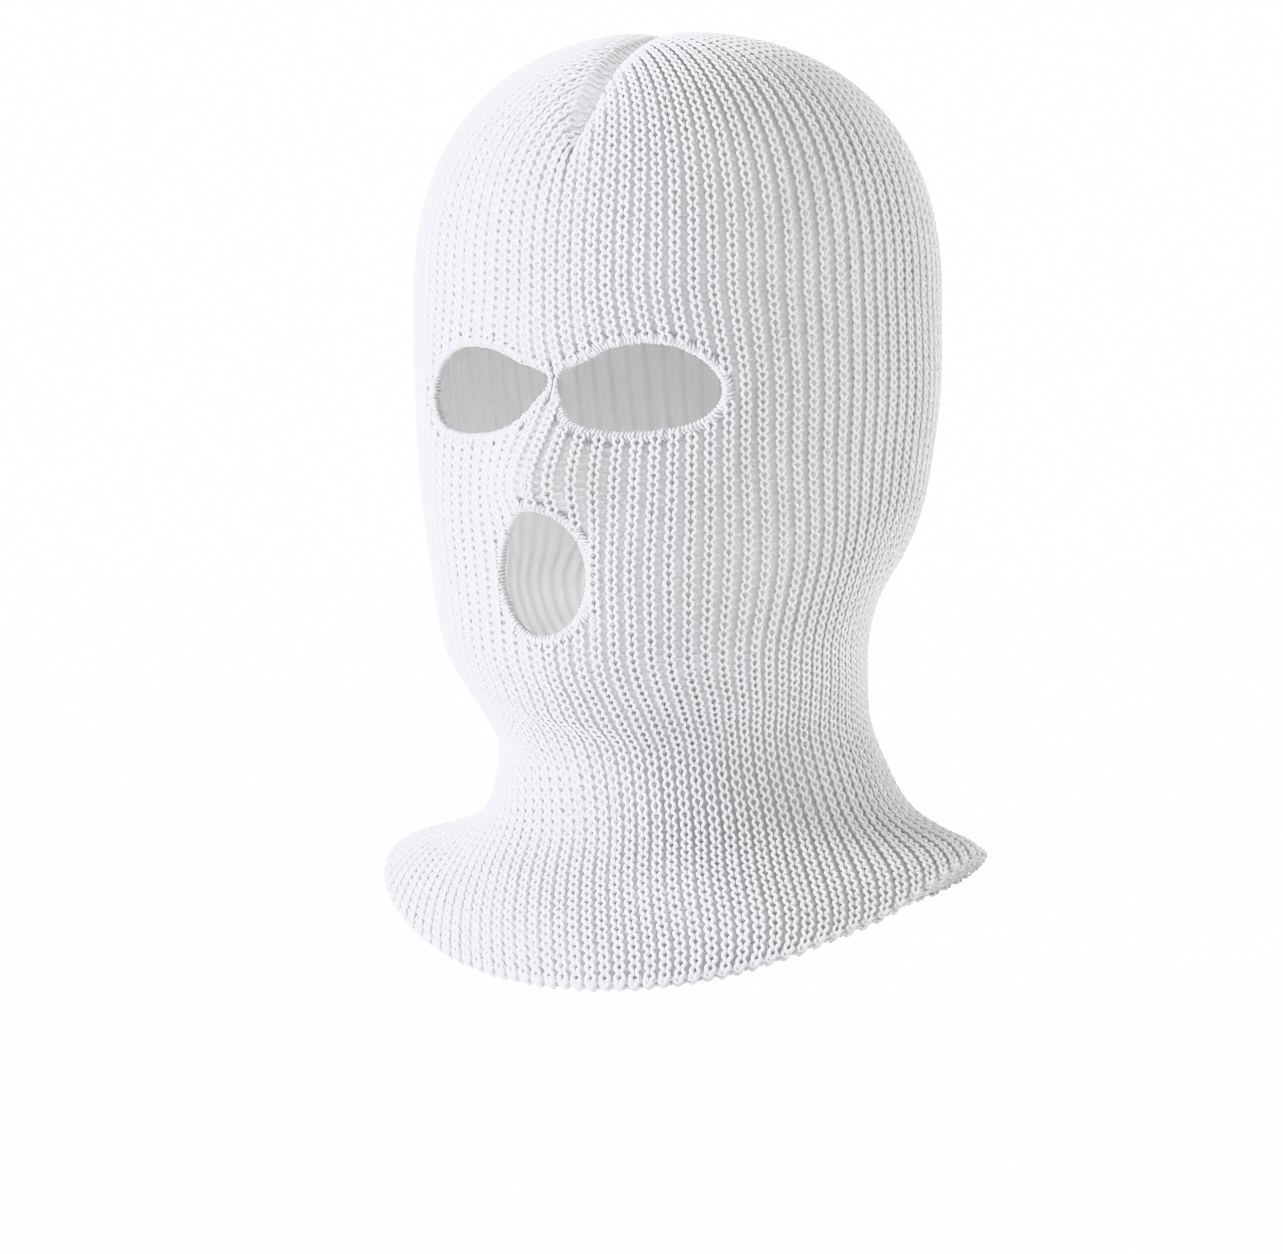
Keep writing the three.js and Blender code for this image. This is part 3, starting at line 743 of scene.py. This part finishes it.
def stitch_starts(first, last):
    """Rib, start and length of every stitch of some ribs. Each rib has as many as its length takes."""
    ribs, starts, steps = [], [], []
    for rib in range(first, last):
        v = np.arange(ROWS + 1.0)
        height = knit_at(np.full_like(v, rib + 0.5), v)[0][:, 2]
        loose = np.clip(np.maximum(LOOSE_BELOW - height, height - LOOSE_ABOVE) / LOOSE_FADE, 0, 1)
        stitches_in = step_length(rib + 0.5) / (STITCH + (STITCH_LOOSE - STITCH) * loose)
        counted = np.concatenate([[0], np.cumsum((stitches_in[1:] + stitches_in[:-1]) / 2)])
        count = round(counted[-1])
        ends = np.interp(np.arange(count + 1) / count * counted[-1], counted, v)
        ribs.append(np.full(count, float(rib)))
        starts.append(ends[:-1])
        steps.append(np.diff(ends))
    return np.concatenate(ribs), np.concatenate(starts), np.concatenate(steps)


def stitches():
    pieces = []
    ends = np.round(np.linspace(0, RIBS, len(SECTORS) + 1)).astype(int)
    for name, first, last in zip(SECTORS, ends[:-1], ends[1:]):
        ribs, starts, steps = stitch_starts(first, last)
        middle, _ = knit_at(ribs + 0.5, starts + 0.5 * steps)
        there = ~in_hole(middle, STITCH_MARGIN)
        parts = legs(ribs[there], starts[there], steps[there], first, last - first)
        middle, _ = knit_at(ribs, starts + 0.5 * steps)
        there = ~in_hole(middle, STITCH_MARGIN) & (seam_dip(middle) < 1.5) & (flank_share(middle) < 0.3)
        parts.append(bumps(ribs[there], starts[there], steps[there], first, last - first))
        pieces.append(make_piece("stitches_" + name, *joined(parts)))
    return pieces


# ---- edges and seams -----------------------------------------------------------------------------

def along_hole(outline, side, share, out):
    """Points of an edge trim: share of its width outwards from the hole, and height above the knit."""
    wide = widened(outline, TRIM_WIDTH, side)
    spot = outline + (wide - outline) * share
    point, normal = front_face(spot[:, 0], spot[:, 1])
    return point + normal * out


# The band of an edge, all round its section: share of the trim's width outwards, and height above the knit.
TRIM_SECTION = [
    (0.1, -1.6), (0.12, -0.9), (0.25, -0.4), (0.45, -0.3), (0.62, -0.4), (0.78, -1.0), (0.75, -2.4),
    (0.5, -3.2), (0.2, -3.0),
]
# The two rows of an edge's stitches, in the same measures.
OUTER_ROW = [(0.86, -1.3), (0.8, -0.62), (0.64, -0.32), (0.46, -0.3), (0.36, -0.7)]
INNER_ROW = [
    (0.5, -0.75), (0.42, -0.25), (0.24, -0.3), (0.12, -0.95), (0.12, -2.2), (0.3, -3.1), (0.55, -3.3),
]
WRAP_PITCH = 1.15  # from one stitch of an edge to the next
EDGE_YARN = 0.5  # radius of the yarn that edges the holes and sews the seams


def edge_trim(name, outline, side):
    """The edge of a hole: a soft band with the yarn wrapped round it stitch by stitch."""
    rings = np.stack([along_hole(outline[::2], side, share, out) for share, out in TRIM_SECTION], 1)
    outer = edge_row(name, outline, side, OUTER_ROW, 1.3, 0)
    inner = edge_row(name, outline, side, INNER_ROW, -0.9, 1)
    return make_piece(name, *joined([band_of(rings), outer, inner]))


def edge_row(name, outline, side, path, slant, number):
    """One row of small slanted stitches round a hole."""
    length = np.linalg.norm(np.roll(outline, -1, 0) - outline, axis=1).sum()
    count = int(length / WRAP_PITCH)
    at = np.arange(count) / count * len(outline)
    lean = np.linspace(-0.5, 0.5, len(path)) * slant * len(outline) / count
    wide = widened(outline, TRIM_WIDTH, side)
    stray = wobble(len(name) + number, count, 0.25)
    paths = []
    for (share, out), shift in zip(path, lean):
        where = (at + shift + stray) % len(outline)
        low = where.astype(int) % len(outline)
        part = (where - np.floor(where))[:, None]
        inner = outline[low] * (1 - part) + outline[(low + 1) % len(outline)] * part
        outer = wide[low] * (1 - part) + wide[(low + 1) % len(outline)] * part
        spot = inner + (outer - inner) * share
        point, normal = front_face(spot[:, 0], spot[:, 1])
        paths.append(point + normal * (out + wobble(len(name) + 3 + number, (count, 1), 0.12)))
    paths = np.stack(paths, 1)
    taper = np.ones(len(path))
    taper[[0, -1]] = 0.7
    radius = EDGE_YARN * (1 + wobble(len(name) + 5 + number, (count, 1), 0.12)) * taper
    return tubes(paths, rounding(paths), radius, row_cells(count, 0.35 + 0.32 * number, 0.3))


def rounding(paths):
    """A reference direction for each path that isn't along it: sideways to its plane."""
    along = np.gradient(paths, axis=1)
    plane = unit(np.cross(paths[:, 2] - paths[:, 0], paths[:, -2] - paths[:, 2]))
    return np.broadcast_to(plane[:, None], along.shape)


ROLL_COLUMNS = 12  # columns of the hem's roll for each rib


def hem():
    """The cast-on edge: a scalloped roll, and the strands that turn round it under each rib."""
    u = np.arange(RIBS * ROLL_COLUMNS) / ROLL_COLUMNS
    swell = 0.5 - 0.5 * np.cos(2 * math.pi * u)
    size = 1.15 + 0.5 * swell
    rings = []
    for turn in 2 * math.pi * np.arange(12) / 12:
        row = 0.28 + size * np.sin(turn) / 4 - 0.1 * swell
        rings.append(raised(u, row, -1.75 + size * np.cos(turn) * 1.15))

    under_ribs, between = np.arange(RIBS) + 0.5, np.arange(RIBS, dtype=float)
    loops = [hem_loops(under_ribs, 1.0, out, drop) for out, drop in ((0.1, 0.0), (-1.5, 0.1), (-3.0, 0.0))]
    loops.append(hem_loops(between, 0.75, -1.6, -0.12))
    return make_piece("cast_on_edge", *joined([band_of(np.stack(rings, 1)), *loops]))


# A loop of the hem from one foot to the other: share of the rib's half width, rows above the hem, how deep
# it is sunk, and thickness as a share of the strand.
HEM_LOOP = [
    (-0.9, 0.5, 0.2, 0.7), (-1.0, 0.12, 0, 1), (-0.78, -0.2, 0.1, 1), (-0.28, -0.36, 0.35, 1),
    (0.28, -0.36, 0.35, 1), (0.78, -0.2, 0.1, 1), (1.0, 0.12, 0, 1), (0.9, 0.5, 0.2, 0.7),
]


def hem_loops(centres, wide, out, drop):
    """A loop of yarn round the foot of each rib, or between two."""
    across, up, sunk, thick = np.array(HEM_LOOP).T
    foot = np.zeros_like(centres)
    spread = half_width(centres, foot) - YARN
    u = centres[:, None] + wide * across * (spread / pitch_at(centres, foot))[:, None]
    v = up - drop + wobble(71 + int(10 * wide), (len(centres), 1), 0.04)
    paths = raised(u, v, out - sunk)
    radius = YARN * 1.15 * (1 + wobble(73, (len(centres), 1), 0.05)) * thick
    _, normal = knit_at(u, np.maximum(v, 0))
    return tubes(paths, normal, radius, row_cells(len(centres), 0.35, 0.6))


SEAM_HALF = 0.85  # half the thickness of a seam at its top
CROWN_SEAM_PLACES, BACK_SEAM_PLACES = 90, 150  # how many sections each seam has


def section_along(u, v, section, drift, tuck):
    """Points of a seam's section (sideways, height above the knit) at each place along it."""
    rows = []
    for x, out in section:
        row = raised(u, v, np.full_like(u, out), tuck)
        row[:, 0] = x + drift(row[:, 1])
        rows.append(row)
    return np.stack(rows, 1)


def seam_piece(name, places, top, bottom, drift, tuck):
    """A linked seam seen from inside: two edges of knit face to face, overcast with yarn."""
    u, v = places
    middle = (top + bottom) / 2
    left = [(SEAM_HALF, top), (SEAM_HALF * 1.25, middle), (SEAM_HALF * 0.8, bottom)]
    section = left + [(-x, out) for x, out in reversed(left)]
    rings = section_along(u, v, section, drift, tuck)
    count, corners = rings.shape[:2]
    quad = ring_quads(rings, False)
    triangles = []
    for ring in (np.arange(corners), np.arange(corners) + (count - 1) * corners):
        triangles.append(np.stack([np.full(corners - 2, ring[0]), ring[1:-1], ring[2:]], -1))
    triangles = np.concatenate(triangles)
    points = rings.reshape(-1, 3)
    a, b, c = (points[triangles[:, n]] for n in range(3))
    first_out, last_out = rings[0].mean(0) - rings[1].mean(0), rings[-1].mean(0) - rings[-2].mean(0)
    end_out = np.where(triangles[:, :1] < corners, first_out, last_out)
    flip = np.sum(np.cross(b - a, c - a) * end_out, 1) < 0
    triangles[flip] = triangles[flip][:, ::-1]
    uvs = [np.full((len(faces), faces.shape[1], 2), (0.1, 0.5)) for faces in (quad, triangles)]
    strip = (points, [quad, triangles], uvs)

    halves = np.linspace(0, count - 1, count * 2)
    u, v = np.interp(halves, np.arange(count), u), np.interp(halves, np.arange(count), v)
    over = [(0.95, top - 1.4), (1.45, middle), (0.9, bottom - 0.2)]
    paths = section_along(u, v, over + [(-x, out) for x, out in reversed(over)], drift, tuck)
    yarn = tubes(paths, rounding(paths), EDGE_YARN, row_cells(len(u), 0.35, 0.6))
    return make_piece(name, *joined([strip, yarn]))


def crown_seam():
    u = np.linspace(0.012, 0.988, CROWN_SEAM_PLACES) * RIBS / 2
    return seam_piece("crown_seam_yarn", (u, np.full_like(u, ROWS)), -8.0, -14.5, seam_x, 0)


def back_seam():
    v = np.linspace(1.2, ROWS - 1.5, BACK_SEAM_PLACES)
    return seam_piece("back_seam_yarn", (np.full_like(v, RIBS / 2), v), -2.6, -7.0, np.zeros_like, 1)


# ---- materials -----------------------------------------------------------------------------------

def yarn_material(name, light, shade, plies=None):
    """White acrylic and wool yarn: faint tint changes, ply twist and fine fibres as bump, a soft sheen."""
    material = bpy.data.materials.new(name)
    material.use_nodes = True
    tree = material.node_tree
    shader = tree.nodes["Principled BSDF"]
    shader.inputs["Roughness"].default_value = 0.92
    shader.inputs["Specular IOR Level"].default_value = 0.18
    shader.inputs["Sheen Weight"].default_value = 0.22
    shader.inputs["Sheen Roughness"].default_value = 0.5
    shader.inputs["Sheen Tint"].default_value = (1, 1, 1, 1)

    place = tree.nodes.new("ShaderNodeTexCoord")
    patches = tree.nodes.new("ShaderNodeTexNoise")
    patches.inputs["Scale"].default_value = 55
    patches.inputs["Detail"].default_value = 3
    tree.links.new(place.outputs["Object"], patches.inputs["Vector"])
    tint = tree.nodes.new("ShaderNodeValToRGB")
    tint.color_ramp.elements[0].position = 0.32
    tint.color_ramp.elements[0].color = (*shade, 1)
    tint.color_ramp.elements[1].position = 0.68
    tint.color_ramp.elements[1].color = (*light, 1)
    tree.links.new(patches.outputs["Fac"], tint.inputs["Fac"])
    tree.links.new(tint.outputs["Color"], shader.inputs["Base Color"])

    fibres = tree.nodes.new("ShaderNodeTexNoise")
    fibres.inputs["Scale"].default_value = 2600
    fibres.inputs["Detail"].default_value = 4
    fibres.inputs["Roughness"].default_value = 0.62
    tree.links.new(place.outputs["Object"], fibres.inputs["Vector"])
    height = fibres.outputs["Fac"]
    if plies:
        height = twisted(tree, fibres, plies)
    relief = tree.nodes.new("ShaderNodeBump")
    relief.inputs["Strength"].default_value = 0.5
    relief.inputs["Distance"].default_value = 0.0003
    tree.links.new(height, relief.inputs["Height"])
    tree.links.new(relief.outputs["Normal"], shader.inputs["Normal"])
    return material


def twisted(tree, fibres, plies):
    """Adds the slanted grooves between a strand's plies to its fibres."""
    map_node = tree.nodes.new("ShaderNodeUVMap")
    map_node.uv_map = UV_NAME
    split = tree.nodes.new("ShaderNodeSeparateXYZ")
    tree.links.new(map_node.outputs["UV"], split.inputs["Vector"])

    def maths(operation, a, b):
        node = tree.nodes.new("ShaderNodeMath")
        node.operation = operation
        for socket, value in zip(node.inputs, (a, b)):
            if isinstance(value, (int, float)):
                socket.default_value = value
            elif value is not None:
                tree.links.new(value, socket)
        return node.outputs[0]

    around = maths("MULTIPLY", split.outputs["X"], plies[0] * 2 * math.pi)
    up = maths("MULTIPLY", split.outputs["Y"], plies[1] * 2 * math.pi)
    wave = maths("SINE", maths("ADD", around, up), None)
    return maths("ADD", maths("MULTIPLY", wave, 0.35), fibres.outputs["Fac"])


# ---- assembly ------------------------------------------------------------------------------------

def finished(piece, slot, material, *nodes):
    piece.data.materials.append(material)
    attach(piece, "root")
    if nodes:
        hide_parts(*nodes)
    return piece


KNIT_NODES = [
    "crown_left", "crown_right", "forehead", "side_left", "side_right", "back_left", "back_right",
    "nose_panel", "cheek_left", "cheek_right", "chin_panel", "neck_front", "neck_left", "neck_right",
    "collar_front", "collar_left", "collar_right",
]
PLIES = (54, ROWS * 2)  # twists of the plies across and up the UV map of one sector's stitches

# The ground knit is the same white yarn as the ribs, painted darker as shade in the valleys between them.
ground_yarn_painted_shade = yarn_material("knit_ground_painted_shade", (0.78, 0.778, 0.776), (0.75, 0.748, 0.746))
rib_yarn = yarn_material("knit_yarn", (0.85, 0.848, 0.845), (0.82, 0.818, 0.815), PLIES)
trim_yarn = yarn_material("edge_yarn", (0.72, 0.719, 0.718), (0.68, 0.679, 0.678))
seam_yarn = yarn_material("seam_yarn", (0.82, 0.82, 0.825), (0.78, 0.78, 0.785))

ground = finished(base_knit(), "rib_knit", ground_yarn_painted_shade, *KNIT_NODES)
extras = [finished(piece, "rib_knit", rib_yarn) for piece in stitches()]
for hole, (outline, side) in HOLES.items():
    node = "mouth_trim" if hole == "mouth" else hole.replace("eye_", "eye_trim_")
    extras.append(finished(edge_trim(hole + "_edge", outline, side), "edge_trim", trim_yarn, node))
extras.append(finished(hem(), "cast_on_edge", rib_yarn, "hem_welt"))
extras.append(finished(crown_seam(), "seam_yarn", seam_yarn, "crown_seam"))
extras.append(finished(back_seam(), "seam_yarn", seam_yarn, "back_seam"))


# ---- stage, camera and light ---------------------------------------------------------------------

FLOOR_SIDES, FLOOR_RADIUS = 64, 9.0
FLOOR_HEIGHT = -ORIGIN_HEIGHT / 1000 - 0.0035  # just under the lowest loop of the hem


def floor():
    """A plain white disk that the camera sees as bright as the background."""
    mesh = bpy.data.meshes.new("floor")
    turns = [2 * math.pi * i / FLOOR_SIDES for i in range(FLOOR_SIDES)]
    rim = [(FLOOR_RADIUS * math.cos(a), FLOOR_RADIUS * math.sin(a), FLOOR_HEIGHT) for a in turns]
    mesh.from_pydata(rim, [], [list(range(FLOOR_SIDES))])
    piece = bpy.data.objects.new("floor", mesh)
    bpy.context.scene.collection.objects.link(piece)
    material = bpy.data.materials.new("floor")
    material.use_nodes = True
    shader = material.node_tree.nodes["Principled BSDF"]
    shader.inputs["Base Color"].default_value = (0.9, 0.9, 0.91, 1)
    shader.inputs["Roughness"].default_value = 0.95
    shader.inputs["Specular IOR Level"].default_value = 0.0
    shader.inputs["Emission Color"].default_value = (1, 1, 1, 1)
    tree = material.node_tree
    ray = tree.nodes.new("ShaderNodeLightPath")
    glow = tree.nodes.new("ShaderNodeMath")
    glow.operation = "MULTIPLY_ADD"
    glow.inputs[1].default_value = 10.0
    glow.inputs[2].default_value = 0.25
    tree.links.new(ray.outputs["Is Camera Ray"], glow.inputs[0])
    tree.links.new(glow.outputs[0], shader.inputs["Emission Strength"])
    mesh.materials.append(material)


CAMERA_AZIMUTH = math.radians(27)  # towards the wearer's left
CAMERA_DISTANCE = 1.6
CAMERA_HEIGHT, AIM_HEIGHT, AIM_SIDE = -0.159, -0.2005, -0.0126
SENSOR = 36
FRAME_WIDTH = 0.442635  # what the picture spans at the object, in metres


def camera():
    data = bpy.data.cameras.new("camera")
    data.sensor_width = SENSOR
    data.lens = SENSOR / FRAME_WIDTH * CAMERA_DISTANCE
    made = bpy.data.objects.new("camera", data)
    bpy.context.scene.collection.objects.link(made)
    across, away = math.cos(CAMERA_AZIMUTH), math.sin(CAMERA_AZIMUTH)
    side = Vector((across, away, 0)) * AIM_SIDE
    aim = Vector((0, 0, AIM_HEIGHT)) + side
    eye = Vector((away * CAMERA_DISTANCE, -across * CAMERA_DISTANCE, CAMERA_HEIGHT)) + side
    made.location = eye
    made.rotation_mode = "QUATERNION"
    made.rotation_quaternion = (aim - eye).to_track_quat("-Z", "Y")
    bpy.context.scene.camera = made


def area_light(name, place, aim, size, power, colour=(1, 1, 1)):
    data = bpy.data.lights.new(name, "AREA")
    data.color = colour
    data.shape = "DISK"
    data.size = size
    data.energy = power
    made = bpy.data.objects.new(name, data)
    made.location = place
    made.rotation_mode = "QUATERNION"
    made.rotation_quaternion = (Vector(aim) - Vector(place)).to_track_quat("-Z", "Y")
    bpy.context.scene.collection.objects.link(made)


def inner_light(place, power):
    """A faint light inside the head, for what the thin white knit lets through."""
    data = bpy.data.lights.new("inner", "POINT")
    data.shadow_soft_size = 0.04
    data.energy = power
    made = bpy.data.objects.new("inner", data)
    made.location = place
    bpy.context.scene.collection.objects.link(made)


def world(ambient):
    """Soft light from all round, with a white background behind the object."""
    made = bpy.data.worlds.new("studio")
    bpy.context.scene.world = made
    made.use_nodes = True
    tree = made.node_tree
    light = tree.nodes["Background"]
    light.inputs["Color"].default_value = (1, 1, 1, 1)
    light.inputs["Strength"].default_value = ambient
    seen = tree.nodes.new("ShaderNodeBackground")
    seen.inputs["Color"].default_value = (1, 1, 1, 1)
    seen.inputs["Strength"].default_value = 12.0
    ray = tree.nodes.new("ShaderNodeLightPath")
    mix = tree.nodes.new("ShaderNodeMixShader")
    tree.links.new(ray.outputs["Is Camera Ray"], mix.inputs["Fac"])
    tree.links.new(light.outputs[0], mix.inputs[1])
    tree.links.new(seen.outputs[0], mix.inputs[2])
    tree.links.new(mix.outputs[0], tree.nodes["World Output"].inputs["Surface"])


MIDDLE, LOW = (0, 0, -0.16), (0, 0, -0.25)  # what the lights aim at
COOL = (0.91, 0.91, 1.0)

camera()
floor()
world(0.49)
bpy.context.scene.view_settings.view_transform = "Khronos PBR Neutral"
area_light("key", (-2.0, -1.9, 0.6), MIDDLE, 1.6, 100, COOL)
area_light("left", (-2.65, -0.8, 0.7), MIDDLE, 1.6, 42, COOL)
area_light("low_left", (-1.6, -1.2, 0.1), LOW, 0.8, 28, COOL)
area_light("top", (0.3, -0.2, 2.0), MIDDLE, 1.4, 19)
area_light("low_right", (1.9, 0.9, 0.15), LOW, 0.9, 10)
inner_light(MIDDLE, 0.12)
